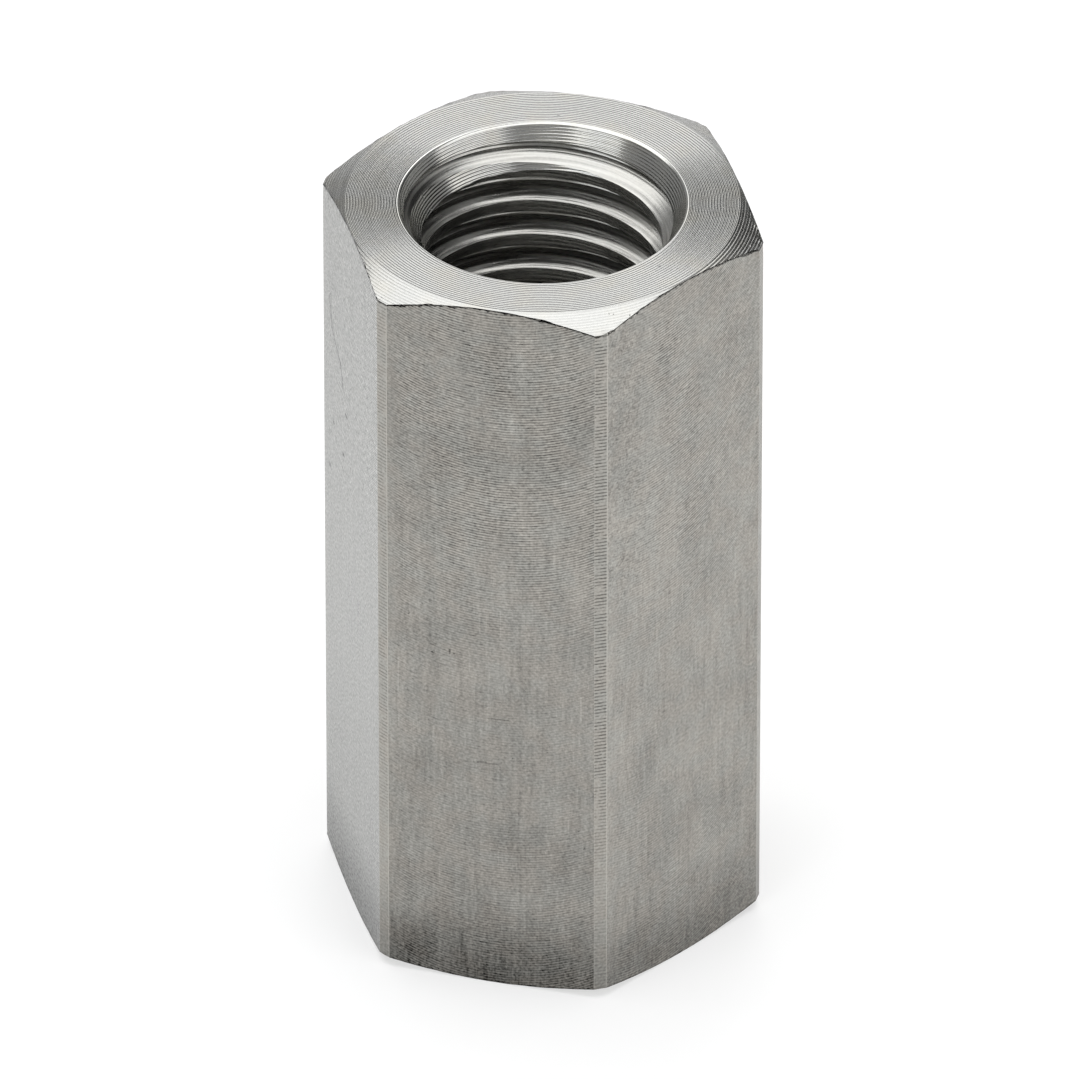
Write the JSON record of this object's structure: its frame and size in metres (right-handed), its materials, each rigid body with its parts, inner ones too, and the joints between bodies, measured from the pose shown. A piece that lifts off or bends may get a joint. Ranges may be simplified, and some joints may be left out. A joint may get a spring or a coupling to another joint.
{
  "type": "coupling nut",
  "caption": "Long hexagonal steel coupling nut with turned corner lands, chamfered ends and a right-hand threaded through hole, countersunk at each end.",
  "frame": {"origin": "centre of the bottom end face", "axes": "+Z along the thread, from the bottom end to the top end; one wrench flat faces -Y and two corners lie on X"},
  "size_m": [0.0193, 0.017, 0.035],
  "materials": {
    "steel": "bare steel, turned ends and milled flats"
  },
  "bodies": {
    "root": {"coupling_nut": "steel"}
  },
  "joints": []
}
